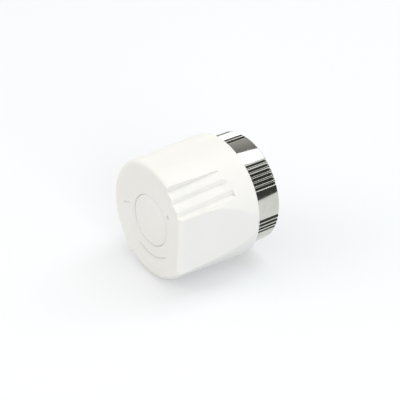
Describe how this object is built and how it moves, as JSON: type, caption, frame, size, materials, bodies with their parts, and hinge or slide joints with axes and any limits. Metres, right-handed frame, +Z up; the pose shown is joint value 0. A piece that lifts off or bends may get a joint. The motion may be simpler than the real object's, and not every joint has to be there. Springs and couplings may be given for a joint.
{
  "type": "radiator thermostat head",
  "caption": "Compact radiator thermostat head: white grip handle with a flat and finger grooves, and a knurled chrome union nut for the valve.",
  "frame": {"origin": "centre of the union nut's open mouth, on the thread axis", "axes": "+Y along the axis out of the nut's mouth, towards the valve; -Y towards the handle's face; +Z up; +X is the side with the flat"},
  "size_m": [0.0426, 0.0386, 0.0426],
  "materials": {
    "white_plastic": "fine satin",
    "nut_chrome": "bright plated, straight knurled",
    "neck_brass": "turned",
    "spring_steel": "drawn wire",
    "base_plastic": "moulded",
    "guide_plastic": "moulded, slippery",
    "seal_rubber": "soft",
    "pin_steel": "ground",
    "capsule_metal": "drawn",
    "filling": "wax-like charge",
    "screw_brass": "turned"
  },
  "bodies": {
    "base": {"base_body": "base_plastic", "neck_bush": "neck_brass", "nut_ring": "spring_steel", "friction_ring": "seal_rubber", "return_spring": "spring_steel"},
    "nut": {"union_nut": "nut_chrome"},
    "handle": {"handle_shell": "white_plastic", "face_cap": "white_plastic", "cam_sleeve": "guide_plastic", "limit_pins": "pin_steel", "handle_ring": "spring_steel"},
    "carriage": {"carriage": "guide_plastic", "cam_pins": "pin_steel", "spring_cap": "capsule_metal", "cap_ring": "spring_steel", "overload_spring": "spring_steel"},
    "sensor": {"sensor_can": "capsule_metal", "sensor_plate": "capsule_metal", "sensor_diaphragm": "seal_rubber", "sensor_filling": "filling", "sensor_guide_bush": "screw_brass"},
    "thrust": {"thrust_cup": "guide_plastic", "closing_screw": "screw_brass", "sensor_piston": "pin_steel"}
  },
  "joints": [
    {"name": "nut_spin", "type": "hinge", "parent": "base", "child": "nut", "pos_m": [0, 0, 0], "axis": [0, 1, 0], "continuous": true},
    {"name": "handle_turn", "type": "hinge", "parent": "base", "child": "handle", "pos_m": [0, 0, 0], "axis": [0, 1, 0], "range_deg": [-150, 150]},
    {"name": "carriage_slide", "type": "slide", "parent": "base", "child": "carriage", "axis": [0, 1, 0], "range_m": [-0.002, 0.002]},
    {"name": "overload_slide", "type": "slide", "parent": "carriage", "child": "sensor", "axis": [0, -1, 0], "range_m": [0, 0.0015], "stiffness_N_per_m": 4000, "springref_m": -0.002, "deforming": ["overload_spring"]},
    {"name": "sensor_stroke", "type": "slide", "parent": "sensor", "child": "thrust", "axis": [0, 1, 0], "range_m": [0, 0.0018], "stiffness_N_per_m": 600, "springref_m": -0.002, "deforming": ["return_spring"]}
  ],
  "couplings": [
    {"joint": "carriage_slide", "follows": "handle_turn", "m_per_rad": 0.00076394}
  ]
}
